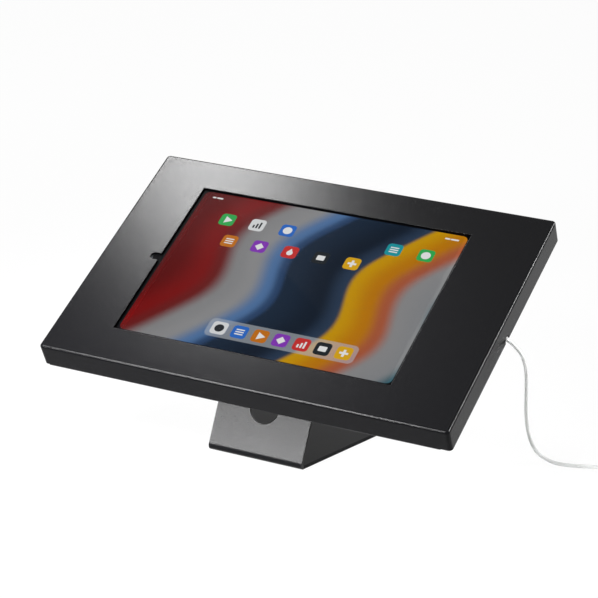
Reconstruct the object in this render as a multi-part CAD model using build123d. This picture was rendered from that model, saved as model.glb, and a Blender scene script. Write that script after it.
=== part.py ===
"""Tablet security kiosk stand: a bent steel bracket, a hinged lockable case, a tablet and its cable.

Units are millimetres. X is to the viewer's right, Y goes back, Z is up. The origin is on the table,
under the middle of the object's outline. Pieces of the case are drawn flat in the case's own frame,
whose origin is the middle of the cover's face and whose Z points out of the screen, and are then
tilted into place.
"""
import os
from math import cos, pi, radians, sin, sqrt, tan

from build123d import *

os.makedirs("parts", exist_ok=True)

# Case, as a box with an open back
case_width = 338.0
case_height = 224.0
case_tilt = 23.0
cover_depth = 19.2
cover_sheet = 1.2
cover_wall_corner = 3.0
cover_face_bend = 2.1
face_above_base = 117.9
face_behind_bend = 76.6

# Screen window, camera notch, cable slot and hook lip of the cover
window_width = 231.3
window_height = 161.0
window_shift_x = -4.65
window_shift_y = 1.1
notch_width = 7.0
notch_depth = 7.65
notch_shift_y = 0.35
window_edge = 0.35
cable_slot_width = 6.5
cable_slot_depth = 4.2
cable_slot_corner = 2.4
lip_depth = 21.2
lip_reach = 6.0
lip_bend = 1.8
lip_left_gap = 4.5
lip_right_gap = 9.5
strike_width = 20.0
strike_reach = 5.6
strike_height = 5.9
strike_sheet = 1.5

# Clearances
running_gap = 0.05
loose_gap = 0.1
body_gap = 0.3
tray_side_gap = 0.6
tray_top_gap = 1.4
overrun = 1.0

# Rear tray
tray_sheet = 1.2
tray_wall_height = 11.0
tray_corner = 2.4
tray_bend = 1.6
tray_drop = 1.5
tray_cable_width = 9.0
tray_cable_height = 6.0
tray_cable_inset = 4.2
tray_window = 34.0
tray_window_corner = 6.0
vent_length = 34.0
vent_width = 4.5
vent_pitch_x = 46.0
vent_pitch_y = 10.0
vent_row_y = 82.0

# Bent bracket
bracket_sheet = 3.0
bracket_bend = 4.5
leaf_slope = 60.0
leaf_width = 78.5
base_depth = 150.0
base_rear_width = 180.0
base_corner = 10.0
flange_width = 98.0
flange_length = 96.0
flange_corner = 6.0
cable_hole = 25.0
cable_hole_up = 42.4
desk_hole = 6.5
desk_front_x = 27.0
desk_front_y = 30.0
desk_rear_x = 62.0
desk_rear_y = 18.0
foot_diameter = 12.0
foot_thickness = 1.2
foot_inset_x = 13.0
foot_front_y = 18.0
foot_rear_y = 13.0

# Fasteners between bracket and tray, on the 75 mm square pattern of flat screens
pattern_pitch = 75.0
pattern_shift_y = 11.0
m4_shank = 4.0
m4_hole = 4.5
m4_head = 7.6
m4_head_height = 2.6
m4_length = 7.6
m4_socket = 2.5
m4_socket_depth = 1.4
washer_diameter = 9.0
washer_thickness = 0.8
clinch_diameter = 8.4
clinch_height = 3.2

# Tablet
tablet_length = 247.6
tablet_width = 178.5
tablet_thickness = 6.1
tablet_corner = 13.0
tablet_edge = 1.8
tablet_shift_x = -4.3
tablet_shift_y = 2.0
glass_below_face = 0.5
glass_thickness = 0.8
glass_border = 1.1
display_length = 227.1
display_width = 157.8
display_corner = 4.5
display_thickness = 0.6
camera_diameter = 4.2
camera_thickness = 1.2
camera_from_edge = 5.2
port_width = 9.0
port_height = 3.2
port_depth = 7.0
button_thickness = 2.4
button_depth = 1.6
button_proud = 0.5
button_travel = 0.3
power_length = 13.0
power_from_corner = 38.0
volume_length = 10.0
volume_from_corner = 40.0
volume_pitch = 12.5

# Corner holders and pads
holder_size = 34.0
holder_wall = 7.0
holder_top_gap = 0.7
holder_cut = 14.0
m3_shank = 3.0
m3_head = 5.6
m3_head_height = 1.8
m3_length = 9.0
m3_socket = 2.0
m3_socket_depth = 1.0
holder_screw_in = 9.0
holder_screw_out = 5.0
pad_length = 46.0
pad_width = 18.0
pad_x = 84.0
pad_y = 52.0
gasket_width = 4.0
gasket_thickness = 0.3
gasket_margin = 1.2

# Cam lock
lock_y = 98.0
lock_head = 17.0
lock_head_height = 3.0
lock_head_edge = 1.0
lock_barrel = 11.0
plug_diameter = 8.0
plug_flange = 9.6
plug_flange_height = 1.2
plug_end_below_face = 6.0
lock_nut_flats = 14.0
lock_nut_height = 3.0
cam_length = 11.0
cam_width = 9.0
cam_sheet = 1.5
cam_screw_shank = 2.5
cam_screw_head = 5.0
cam_screw_head_height = 1.4
cam_screw_length = 5.0
keyway_width = 5.9
keyway_thickness = 2.2
keyway_depth = 12.8
key_thickness = 1.9
key_blade_width = 5.5
key_blade_length = 12.2
key_shoulder_width = 9.0
key_shoulder_length = 4.0
key_bow = 20.0
key_bow_hole = 6.0
key_bow_corner = 6.0
key_cut_depth = 1.1
key_cut_pitch = 2.6

# Charging cable, plugs, coil and tie
cord_diameter = 2.8
plug_shell_width = 8.34
plug_shell_height = 2.56
plug_shell_length = 6.6
plug_body_width = 11.5
plug_body_height = 5.6
plug_body_length = 11.5
relief_diameter = 4.4
relief_length = 7.0
plug_gap = 0.2
cord_lead_out = 11.0
usb_body_width = 15.0
usb_body_height = 7.4
usb_body_length = 19.0
usb_relief_length = 8.0
usb_relief_diameter = 4.6
usb_shell_width = 12.0
usb_shell_height = 4.5
usb_shell_length = 12.0
usb_shell_wall = 0.4
usb_tongue = 1.9
cord_route = [
    (-10.5, -2.5, 109.1),
    (7.6, 2.0, 97.2),
    (14.6, 3.9, 82.6),
    (14.9, 4.9, 59.0),
    (14.8, 7.0, 33.0),
    (19.6, 11.0, 11.8),
    (30.5, 15.4, 1.5),
    (46.0, 15.6, 1.5),
]
coil_centre_x = 103.0
coil_centre_y = 7.0
coil_mean_radius = 16.0
coil_pitch = 3.9
coil_rise = 3.5
coil_layer_halves = 6
coil_return_halves = 5
coil_heading = 13.0
coil_run_in = 33.0
tail_out = 26.0
tail_side = 22.0
tail_end = 11.0
tie_width = 8.0
tie_sheet = 0.6
tie_corner = 1.2

# Shares of other sizes
cord_arc_share = 0.45
plug_corner_share = 0.45
usb_corner_share = 0.25
screw_edge_share = 0.33
pad_corner_share = 0.17
key_neck_share = 0.33
key_hole_share = 0.25
foot_flare_share = 0.33

# Values worked out from the sizes above
tilt_sine = sin(radians(case_tilt))
tilt_cosine = cos(radians(case_tilt))
front_reach = (case_height / 2 - cover_face_bend) * tilt_cosine - cover_face_bend * tilt_sine + cover_face_bend
rear_reach = case_height / 2 * tilt_cosine + cover_depth * tilt_sine
face_y = (front_reach - rear_reach) / 2
face_z = face_above_base + foot_thickness
tray_back = lip_depth - tray_drop
tray_floor = tray_back - tray_sheet
glass_top = cover_sheet + glass_below_face
tablet_back = glass_top + tablet_thickness
bend_y = face_y - face_behind_bend
slot_y = face_y + (cover_depth + cover_sheet - cord_diameter - loose_gap) * tilt_sine
coil_inner = coil_mean_radius - coil_layer_halves * coil_pitch / 4
case_place = Location((0, face_y, face_z), (case_tilt, 0, 0))


def in_case(shape):
    """Tilt a piece drawn in the case's frame into its place."""
    return case_place * shape


def plate(width, length, corner, top, thickness):
    """Flat plate with rounded corners whose upper face lies at the height top."""
    return Pos(0, 0, top) * extrude(RectangleRounded(width, length, corner), amount=-thickness)


def drill(x, y, diameter, bottom, top):
    """Round cutter along Z."""
    return Pos(x, y, (bottom + top) / 2) * Cylinder(diameter / 2, top - bottom)


def bent_strip(points, bend, sheet):
    """Side view of a bent sheet: the outer line of bends with the sheet on its right."""
    outer = FilletPolyline(*points, radius=bend)
    return make_face(outer.wire().offset_2d(sheet, side=Side.RIGHT))


def save(shape, name):
    """Write one node."""
    export_step(shape, f"parts/{name}.step")
    print(name, len(shape.solids()), "solids", round(shape.volume), "mm3")


def front_cover():
    """Cover: face and four walls of one sheet, window with camera notch, cable slot and hook lip."""
    block = plate(case_width, case_height, cover_wall_corner, 0, cover_depth)
    block = fillet(block.faces().sort_by(Axis.Z)[-1].edges(), cover_face_bend)
    hollow = plate(
        case_width - 2 * cover_sheet, case_height - 2 * cover_sheet,
        cover_wall_corner - cover_sheet, -cover_sheet, cover_depth,
    )
    hollow = fillet(hollow.faces().sort_by(Axis.Z)[-1].edges(), cover_face_bend - cover_sheet)
    front = -case_height / 2
    tip = front + lip_reach
    lip = bent_strip([(tip, -lip_depth), (front, -lip_depth), (front, -cover_depth)], lip_bend, cover_sheet)
    lip_length = case_width - lip_left_gap - lip_right_gap
    lip = Pos(-case_width / 2 + lip_left_gap, 0, 0) * extrude(Plane.YZ * lip, amount=lip_length)
    window = Pos(window_shift_x, window_shift_y, -cover_sheet / 2) * Box(
        window_width, window_height, cover_sheet + overrun
    )
    notch_end = window_shift_x - window_width / 2 - notch_depth + notch_width / 2
    notch = Pos(notch_end, notch_shift_y, 0) * drill(0, 0, notch_width, -cover_sheet - overrun, overrun)
    notch_box = Pos(notch_end + notch_depth / 2, notch_shift_y, -cover_sheet / 2) * Box(
        notch_depth, notch_width, cover_sheet + overrun
    )
    slot = RectangleRounded(cable_slot_width, 2 * cable_slot_depth, cable_slot_corner)
    slot = Pos(case_width / 2 - cover_sheet - overrun, 0, -cover_depth) * extrude(
        Plane.YZ * slot, amount=cover_sheet + 2 * overrun
    )
    cover = block - hollow - window - notch - notch_box
    rim = [edge for edge in cover.edges().filter_by_position(Axis.Z, -running_gap, running_gap) if in_window(edge)]
    return fillet(rim, window_edge) - slot + lip


def in_window(edge):
    """True for edges of the screen window and the camera notch."""
    across = abs(edge.center().X - window_shift_x)
    along = abs(edge.center().Y - window_shift_y)
    return across < window_width / 2 + notch_depth + overrun and along < window_height / 2 + overrun


def cover_strike():
    """Small angle welded inside the cover's rear wall, over which the cam turns."""
    wall = case_height / 2 - cover_sheet
    top = -plug_end_below_face - body_gap - loose_gap
    shelf = Pos(0, wall - strike_reach / 2, top - strike_sheet / 2) * Box(
        strike_width, strike_reach, strike_sheet
    )
    leg = Pos(0, wall - strike_sheet / 2, top - strike_sheet + strike_height / 2) * Box(
        strike_width, strike_sheet, strike_height
    )
    return shelf + leg


def window_gasket():
    """Thin foam strips on the cover's inner face round the window, parted at the camera notch."""
    inner_w = window_width + 2 * gasket_margin
    inner_h = window_height + 2 * gasket_margin
    outer = RectangleRounded(inner_w + 2 * gasket_width, inner_h + 2 * gasket_width, gasket_width)
    ring = extrude(outer - Rectangle(inner_w, inner_h), amount=-gasket_thickness)
    ring = Pos(window_shift_x, window_shift_y, -cover_sheet) * ring
    gap_length = notch_width + 2 * gasket_margin
    gap = Pos(window_shift_x - inner_w / 2, notch_shift_y, -cover_sheet) * Box(
        3 * gasket_width, gap_length, 2 * gasket_width
    )
    return ring - gap


def rear_tray():
    """Tray of bent sheet that carries the tablet and the lock."""
    half = case_height / 2 - cover_sheet
    width = case_width - 2 * cover_sheet - 2 * tray_side_gap
    height = 2 * half - tray_side_gap - tray_top_gap
    shift = (tray_side_gap - tray_top_gap) / 2
    top = -tray_back + tray_wall_height
    block = plate(width, height, tray_corner, top, tray_wall_height)
    block = fillet(block.faces().sort_by(Axis.Z)[0].edges(), tray_bend)
    hollow = plate(
        width - 2 * tray_sheet, height - 2 * tray_sheet,
        tray_corner - tray_sheet, top + overrun, tray_wall_height - tray_sheet + overrun,
    )
    hollow = fillet(hollow.faces().sort_by(Axis.Z)[0].edges(), tray_bend - tray_sheet)
    tray = Pos(0, shift, 0) * (block - hollow)
    below = -tray_back - overrun
    above = -tray_floor + overrun
    for x, y in pattern_places():
        tray -= drill(x, y, m4_hole, below, above)
    for x, y in holder_screw_places():
        tray -= drill(x, y, m3_shank + 2 * loose_gap, below, above)
    tray -= drill(0, lock_y, lock_barrel + 2 * loose_gap, below, above)
    tray -= Pos(0, pattern_shift_y, 0) * plate(
        tray_window, tray_window, tray_window_corner, above, tray_sheet + 2 * overrun
    )
    for side in (-1, 1):
        for column in range(3):
            for row in range(2):
                x = side * (vent_pitch_x + column * vent_pitch_x)
                y = -vent_row_y + row * vent_pitch_y
                slot = extrude(SlotOverall(vent_length, vent_width), amount=tray_sheet + 2 * overrun)
                tray -= Pos(x - side * vent_pitch_x / 2, y, below) * slot
    passage = Pos(case_width / 2, 0, -tray_back + tray_cable_height / 2 - overrun / 2) * Box(
        2 * tray_cable_inset, tray_cable_width, tray_cable_height + overrun
    )
    return tray - passage


def pattern_places():
    """The four screw places between bracket and tray."""
    half = pattern_pitch / 2
    return [(x, pattern_shift_y + y) for x in (-half, half) for y in (-half, half)]


def stand_bracket():
    """One bent sheet: flared base, leaning leaf with the cable hole, flange behind the case."""
    slope = radians(leaf_slope)
    bottom = foot_thickness
    # The leaf's front meets the plane of the tray's back at this distance up the leaf.
    back_z = face_z - tray_back / tilt_cosine
    back_rise = tan(radians(case_tilt))
    start_y = bend_y - face_y
    reach = (back_z - bottom + start_y * back_rise) / (sin(slope) - cos(slope) * back_rise)
    knee = (bend_y + reach * cos(slope), bottom + reach * sin(slope))
    end = (knee[0] + flange_length * tilt_cosine, knee[1] + flange_length * tilt_sine)
    side = bent_strip(
        [(bend_y + base_depth, bottom), (bend_y, bottom), knee, end], bracket_bend, bracket_sheet
    )
    bracket = extrude(Plane.YZ * side, amount=leaf_width / 2, both=True)
    flat_start = bend_y + bracket_bend / tan(slope / 2)
    outline = Polyline(
        (-leaf_width / 2, flat_start), (leaf_width / 2, flat_start),
        (base_rear_width / 2, bend_y + base_depth), (-base_rear_width / 2, bend_y + base_depth),
        close=True,
    )
    base = make_face(outline)
    base = fillet(base.vertices().sort_by(Axis.Y)[-2:], base_corner)
    bracket += Pos(0, 0, bottom) * extrude(base, amount=bracket_sheet)
    knee_up = (knee[0] - face_y) * tilt_cosine + (knee[1] - face_z) * tilt_sine
    knee_flat = bracket_bend * tan(radians(leaf_slope - case_tilt) / 2)
    plate_length = flange_length - knee_flat
    middle = knee_up + knee_flat + plate_length / 2
    flange = Pos(0, middle, 0) * plate(
        flange_width, plate_length, flange_corner, -tray_back, bracket_sheet
    )
    below = -tray_back - bracket_sheet - overrun
    opening = Pos(0, pattern_shift_y, 0) * plate(
        tray_window, tray_window, tray_window_corner, -tray_back + overrun, bracket_sheet + 2 * overrun
    )
    bracket = bracket + in_case(flange)
    bracket -= in_case(opening)
    for x, y in pattern_places():
        bracket -= in_case(drill(x, y, m4_hole, below, -tray_back + overrun))
    hole_y = bend_y + cable_hole_up * cos(slope)
    hole_z = bottom + cable_hole_up * sin(slope)
    hole = Cylinder(cable_hole / 2, 4 * bracket_sheet)
    bracket -= Location((0, hole_y, hole_z), (leaf_slope, 0, 0)) * hole
    for x, y in desk_places():
        bracket -= drill(x, y, desk_hole, bottom - overrun, bottom + bracket_sheet + overrun)
    return bracket


def desk_places():
    """Places of the four desk screws in the base."""
    front = bend_y + desk_front_y
    rear = bend_y + base_depth - desk_rear_y
    return [(-desk_front_x, front), (desk_front_x, front), (-desk_rear_x, rear), (desk_rear_x, rear)]


def foot_places():
    """Places of the four rubber pads under the base."""
    front = bend_y + foot_front_y
    rear = bend_y + base_depth - foot_rear_y
    front_x = leaf_width / 2 - foot_inset_x
    rear_x = base_rear_width / 2 - foot_inset_x - foot_flare_share * foot_inset_x
    return [(-front_x, front), (front_x, front), (-rear_x, rear), (rear_x, rear)]


def stand_feet():
    """Four thin round pads."""
    return [drill(x, y, foot_diameter, 0, foot_thickness) for x, y in foot_places()]


def machine_screw(shank, length, head, head_height, socket, socket_depth):
    """Pan-head screw with a hexagon socket: the head's seat lies at Z = 0, the shank points up."""
    top = Pos(0, 0, -head_height / 2) * Cylinder(head / 2, head_height)
    top = fillet(top.faces().sort_by(Axis.Z)[0].edges(), screw_edge_share * head_height)
    pin = Pos(0, 0, length / 2) * Cylinder(shank / 2, length)
    recess = extrude(RegularPolygon(socket / 2, 6, major_radius=False), amount=socket_depth)
    return top + pin - Pos(0, 0, -head_height) * recess


def bracket_screws():
    """Four M4 screws that go up through the flange into the clinch nuts."""
    seat = -tray_back - bracket_sheet - washer_thickness
    screw = machine_screw(m4_shank, m4_length, m4_head, m4_head_height, m4_socket, m4_socket_depth)
    return [Pos(x, y, seat) * screw for x, y in pattern_places()]


def bracket_washers():
    """Four flat washers under the flange."""
    top = -tray_back - bracket_sheet
    ring = Cylinder(washer_diameter / 2, washer_thickness)
    ring -= Cylinder(m4_hole / 2, washer_thickness + overrun)
    return [Pos(x, y, top - washer_thickness / 2) * ring for x, y in pattern_places()]


def clinch_nuts():
    """Four round nuts pressed onto the tray's floor."""
    ring = Cylinder(clinch_diameter / 2, clinch_height)
    ring -= Cylinder(m4_shank / 2 + running_gap, clinch_height + overrun)
    return [Pos(x, y, -tray_floor + clinch_height / 2) * ring for x, y in pattern_places()]


def at_tablet(shape):
    """Move a piece drawn round the tablet's middle to the tablet's place in the case."""
    return Pos(tablet_shift_x, tablet_shift_y, 0) * shape


def button_cutter(length, grow):
    """Rounded bar of a side button, grown all round; its outer face points along X."""
    section = SlotOverall(length + 2 * grow, button_thickness + 2 * grow)
    return extrude(Plane.YZ * section, amount=button_depth + button_proud)


def side_button(edge, along, length, turn, grow, sink):
    """Button in the tablet's rim: edge is the rim's distance, along the place on it, turn its side."""
    middle = -(glass_top + tablet_back) / 2
    bar = Pos(edge - button_depth - sink, 0, 0) * button_cutter(length, grow)
    return Pos(0, 0, middle) * (Rot(0, 0, turn) * (Pos(0, along, 0) * bar))


def power_button(grow=0, sink=0):
    """Button on the tablet's left short edge, near its upper corner."""
    along = -(tablet_width / 2 - power_from_corner)
    return side_button(tablet_length / 2, along, power_length, 180, grow, sink)


def volume_button(step, grow=0, sink=0):
    """One of the two buttons on the tablet's upper long edge, near its left corner."""
    along = tablet_length / 2 - volume_from_corner - step * volume_pitch
    return side_button(tablet_width / 2, along, volume_length, 90, grow, sink)


def tablet_body():
    """Aluminium shell with pockets for glass, display, camera, port and buttons."""
    body = plate(tablet_length, tablet_width, tablet_corner, -glass_top, tablet_thickness)
    body = fillet(body.faces().sort_by(Axis.Z)[0].edges(), tablet_edge)
    recess = tablet_corner - glass_border
    body -= plate(
        tablet_length - 2 * glass_border, tablet_width - 2 * glass_border,
        recess, -glass_top + overrun, glass_thickness + overrun,
    )
    under = -glass_top - glass_thickness
    body -= plate(
        display_length + 2 * loose_gap, display_width + 2 * loose_gap, display_corner + loose_gap,
        under + overrun, display_thickness + overrun,
    )
    camera_x = -tablet_length / 2 + camera_from_edge
    body -= drill(camera_x, 0, camera_diameter + 2 * loose_gap, under - camera_thickness, under + overrun)
    port = extrude(Plane.YZ * SlotOverall(port_width, port_height), amount=port_depth + overrun)
    body -= Pos(tablet_length / 2 - port_depth, 0, -(glass_top + tablet_back) / 2) * port
    body -= power_button(loose_gap, button_travel + loose_gap)
    for step in range(2):
        body -= volume_button(step, loose_gap, button_travel + loose_gap)
    return at_tablet(body)


def tablet_glass():
    """Cover glass, let into the shell."""
    border = glass_border + loose_gap
    sheet = plate(
        tablet_length - 2 * border, tablet_width - 2 * border,
        tablet_corner - border, -glass_top, glass_thickness,
    )
    return at_tablet(sheet)


def tablet_display():
    """Display panel under the glass."""
    under = -glass_top - glass_thickness
    return at_tablet(plate(display_length, display_width, display_corner, under, display_thickness))


def tablet_camera():
    """Front camera under the glass, in line with the cover's notch."""
    under = -glass_top - glass_thickness
    x = -tablet_length / 2 + camera_from_edge
    return at_tablet(drill(x, 0, camera_diameter, under - camera_thickness, under))


def holder_centres():
    """Corner signs and names of the four holders."""
    return [("front_left", -1, -1), ("front_right", 1, -1), ("rear_left", -1, 1), ("rear_right", 1, 1)]


def holder_screw_places():
    """Two screw places in each corner holder, in its two thick arms."""
    places = []
    for _, sx, sy in holder_centres():
        corner_x = tablet_shift_x + sx * (tablet_length / 2 + holder_wall)
        corner_y = tablet_shift_y + sy * (tablet_width / 2 + holder_wall)
        near = holder_screw_out
        far = holder_size - holder_screw_in
        places.append((corner_x - sx * near, corner_y - sy * far))
        places.append((corner_x - sx * far, corner_y - sy * near))
    return places


def corner_holder(sx, sy):
    """Plastic corner block: a shelf under the tablet's corner and two walls beside it."""
    top = -cover_sheet - holder_top_gap
    height = tray_floor + top
    corner_x = sx * (tablet_length / 2 + holder_wall)
    corner_y = sy * (tablet_width / 2 + holder_wall)
    centre = Pos(corner_x - sx * holder_size / 2, corner_y - sy * holder_size / 2, 0)
    block = centre * plate(holder_size, holder_size, holder_wall, top, height)
    rest = plate(
        tablet_length + 2 * body_gap, tablet_width + 2 * body_gap, tablet_corner + body_gap,
        top + overrun, tablet_back + top + overrun,
    )
    inner = Pos(corner_x - sx * holder_size, corner_y - sy * holder_size, -tray_floor + height / 2)
    cut = inner * (Rot(0, 0, 45) * Box(holder_cut * 2, holder_cut * 2, height + overrun))
    return at_tablet(block - rest - cut)


def holder_with_bores(sx, sy):
    """Corner holder with its two screw bores."""
    holder = corner_holder(sx, sy)
    for x, y in holder_screw_places():
        holder -= drill(
            x, y, m3_shank + 2 * running_gap, -tray_floor - overrun, -tray_back + m3_length + body_gap
        )
    return holder


def holder_screws():
    """Eight M3 screws from behind the tray into the corner holders."""
    screw = machine_screw(m3_shank, m3_length, m3_head, m3_head_height, m3_socket, m3_socket_depth)
    return [Pos(x, y, -tray_back) * screw for x, y in holder_screw_places()]


def back_pads():
    """Four rubber blocks between the tray and the tablet's back."""
    height = tray_floor - tablet_back
    block = Box(pad_length, pad_width, height)
    block = fillet(block.edges().filter_by(Axis.Z), pad_corner_share * pad_width)
    places = [(x, y) for x in (-pad_x, pad_x) for y in (-pad_y, pad_y)]
    return [at_tablet(Pos(x, y, -tray_floor + height / 2) * block) for x, y in places]


def lock_body():
    """Lock barrel with its round head behind the tray."""
    front = -tray_back - lock_head_height
    rear = -plug_end_below_face - body_gap
    head = drill(0, lock_y, lock_head, front, -tray_back)
    head = fillet(head.faces().sort_by(Axis.Z)[0].edges(), lock_head_edge)
    body = head + drill(0, lock_y, lock_barrel, -tray_back - overrun, rear)
    body -= drill(0, lock_y, plug_diameter + 2 * running_gap, front - overrun, rear + overrun)
    flange_top = front + plug_flange_height + running_gap
    body -= drill(0, lock_y, plug_flange + 2 * running_gap, front - overrun, flange_top)
    return body


def lock_nut():
    """Thin hexagon nut that clamps the lock to the tray."""
    nut = extrude(RegularPolygon(lock_nut_flats / 2, 6, major_radius=False), amount=lock_nut_height)
    nut -= Cylinder(lock_barrel / 2 + running_gap, 3 * lock_nut_height)
    return Pos(0, lock_y, -tray_floor) * (Rot(0, 0, 30) * nut)


def lock_plug():
    """Turning core with its keyway."""
    front = -tray_back - lock_head_height
    core = drill(0, lock_y, plug_diameter, front, -plug_end_below_face)
    core += drill(0, lock_y, plug_flange, front, front + plug_flange_height)
    keyway = Pos(0, lock_y, front + keyway_depth / 2 - overrun / 2) * Box(
        keyway_width, keyway_thickness, keyway_depth + overrun
    )
    bore = drill(
        0, lock_y, cam_screw_shank + 2 * running_gap,
        -plug_end_below_face - cam_screw_length + cam_sheet - body_gap, overrun,
    )
    return core - keyway - bore


def lock_cam():
    """Cam plate on the plug's inner end; at rest it points along the wall, clear of the strike."""
    centre = Pos(0, lock_y, -plug_end_below_face)
    length = cam_length + cam_width / 2
    shape = Pos(length / 2 - cam_width / 2, 0) * SlotOverall(length, cam_width)
    cam = extrude(shape - Circle(cam_screw_shank / 2 + running_gap), amount=cam_sheet)
    return centre * cam


def cam_screw():
    """Screw that holds the cam on the plug."""
    screw = machine_screw(
        cam_screw_shank, cam_screw_length, cam_screw_head, cam_screw_head_height,
        keyway_thickness, cam_screw_head_height / 2,
    )
    return Pos(0, lock_y, -plug_end_below_face + cam_sheet) * (Rot(180, 0, 0) * screw)


def lock_key():
    """Key with a cut blade, shoulder and holed bow, seated in the plug."""
    face = -tray_back - lock_head_height - body_gap
    half = key_blade_width / 2
    blade = Pos(0, key_blade_length / 2) * Rectangle(key_blade_width, key_blade_length)
    for place in range(4):
        depth = key_cut_depth * (1 + place % 2) / 2
        notch = Pos(half, key_cut_pitch * (place + 1)) * RegularPolygon(depth, 4)
        blade -= notch
    shoulder = Pos(0, -key_shoulder_length / 2) * Rectangle(key_shoulder_width, key_shoulder_length)
    bow_middle = -key_shoulder_length - key_bow / 2 + key_neck_share * key_bow_corner
    bow = Pos(0, bow_middle) * RectangleRounded(key_bow, key_bow, key_bow_corner)
    hole = Pos(0, bow_middle - key_hole_share * key_bow) * Circle(key_bow_hole / 2)
    flat = blade + shoulder + bow - hole
    key = extrude(Plane.XZ * flat, amount=key_thickness / 2, both=True)
    return Pos(0, lock_y, face) * key


def charge_plug_shell():
    """Metal tongue of the plug in the tablet's port."""
    end = tablet_length / 2
    shell = extrude(
        Plane.YZ * SlotOverall(plug_shell_width, plug_shell_height), amount=plug_shell_length + plug_gap
    )
    middle = -(glass_top + tablet_back) / 2
    return at_tablet(Pos(end - plug_shell_length, 0, middle) * shell)


def charge_plug_body():
    """Moulded plug body with its strain relief."""
    start = tablet_length / 2 + plug_gap
    middle = -(glass_top + tablet_back) / 2
    body = extrude(
        Plane.YZ * RectangleRounded(plug_body_width, plug_body_height, plug_corner_share * plug_body_height),
        amount=plug_body_length,
    )
    relief = Pos(plug_body_length + relief_length / 2, 0, 0) * (
        Rot(0, 90, 0) * Cone(relief_diameter / 2, cord_diameter / 2 + loose_gap, relief_length)
    )
    return at_tablet(Pos(start, 0, middle) * (body + relief))


def smooth_route(points):
    """Straight runs joined by tangent arcs, with each arc set by its shorter run."""
    radii = []
    for before, corner, after in zip(points, points[1:], points[2:]):
        into = Vector(*corner) - Vector(*before)
        out = Vector(*after) - Vector(*corner)
        turn = radians(into.get_angle(out))
        radii.append(cord_arc_share * min(into.length, out.length) / tan(turn / 2))
    return FilletPolyline(*points, radius=radii), radii


def round_tube(path, diameter):
    """Round tube swept along a path."""
    start = Plane(origin=path @ 0, z_dir=path % 0)
    return sweep(start * Circle(diameter / 2), path=path)


def cord_start():
    """Where the cord leaves the charging plug, and its first straight point, in the part's frame."""
    end = tablet_shift_x + tablet_length / 2 + plug_gap + plug_body_length + relief_length
    middle = -(glass_top + tablet_back) / 2
    places = []
    for x in (end, end + cord_lead_out):
        place = in_case(Pos(x, tablet_shift_y, middle)).position
        places.append((place.X, place.Y, place.Z))
    return places


def cord_points():
    """The cord's corner points, from the charging plug to the coil."""
    wall = case_width / 2
    points = cord_start()
    for x, y, z in cord_route:
        points.append((wall + x, slot_y + y, z))
    points.append(coil_entry(-coil_run_in))
    points.append(coil_entry(-cord_diameter))
    return points


def coil_entry(back):
    """Point on the coil's straight lead-in, or beyond it by a negative distance back."""
    x, y, _ = coil_spot(0)
    heading = radians(coil_heading)
    return (x + back * cos(heading), y + back * sin(heading), coil_low())


def coil_low():
    """Height of the cord's middle in the coil's lower layer."""
    return cord_diameter / 2 + tie_sheet + loose_gap


def coil_spot(step):
    """Point at the end of a half turn, counted from the outer end of the lower layer."""
    climbed = step > coil_layer_halves
    inward = coil_layer_halves - step
    outward = step - coil_layer_halves - 1
    radius = coil_inner + (outward if climbed else inward) * coil_pitch / 2
    angle = radians(90 + coil_heading) - step * pi
    x = case_width / 2 + coil_centre_x + radius * cos(angle)
    y = slot_y + coil_centre_y + radius * sin(angle)
    return (x, y, coil_low() + (coil_rise if climbed else 0))


def coil_path():
    """One unbroken path: straight lead-in, half turns as pairs of arcs, straight lead-out."""
    heading = Vector(cos(radians(coil_heading)), sin(radians(coil_heading)), 0)
    halves = coil_layer_halves + 1 + coil_return_halves
    start = Vector(*coil_spot(0))
    edges = [Edge.make_line(start - heading * cord_diameter, start)]
    for step in range(halves):
        here = Vector(*coil_spot(step))
        there = Vector(*coil_spot(step + 1))
        away = heading * (1 if step % 2 == 0 else -1)
        span = (there - here).length / 2
        first = here + away * span
        second = there + away * span
        joint = (first + second) / 2
        edges.append(Edge.make_tangent_arc(here, away, joint))
        edges.append(Edge.make_tangent_arc(joint, second - first, there))
    end = Vector(*coil_spot(halves))
    last = heading * (1 if halves % 2 == 0 else -1)
    edges.append(Edge.make_line(end, end + last * cord_diameter))
    return Wire(edges), end + last * cord_diameter, last


def least_coil_gap(path, samples=1200):
    """Least distance between passes of the coil's path, less the cord's thickness."""
    spots = [path @ (index / samples) for index in range(samples + 1)]
    step = path.length / samples
    skip = int(coil_mean_radius * 2 / step)
    least = coil_mean_radius
    for index, spot in enumerate(spots):
        for other in spots[index + skip:]:
            distance = (other - spot).length
            least = min(least, distance)
    return least - cord_diameter


def cable_tie():
    """Soft strap closed round the coil's turns on the side away from the cord's ends."""
    near = sqrt((coil_inner - cord_diameter / 2) ** 2 - (tie_width / 2) ** 2) - body_gap
    far = coil_inner + (coil_layer_halves - 1) * coil_pitch / 2 + cord_diameter / 2 + body_gap
    low = coil_low() - cord_diameter / 2
    high = coil_low() + coil_rise + cord_diameter / 2
    width = far - near
    height = high - low + loose_gap + body_gap
    hole = RectangleRounded(width, height, tie_corner)
    band = RectangleRounded(width + 2 * tie_sheet, height + 2 * tie_sheet, tie_corner + tie_sheet) - hole
    strap = extrude(Plane.YZ * band, amount=tie_width / 2, both=True)
    strap = Pos(0, -(far + near) / 2, height / 2 + tie_sheet) * strap
    turn = Rot(0, 0, coil_heading)
    return Pos(case_width / 2 + coil_centre_x, slot_y + coil_centre_y, 0) * (turn * strap)


def tail_points(start, heading):
    """Corner points of the short free end between the coil and the far plug."""
    side = Vector(heading.Y, -heading.X, 0)
    rest = usb_body_height / 2
    out = start + heading * tail_out
    low = out + side * tail_side
    last = low + side * tail_end
    return [(start.X, start.Y, start.Z), (out.X, out.Y, out.Z), (low.X, low.Y, rest), (last.X, last.Y, rest)]


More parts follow.
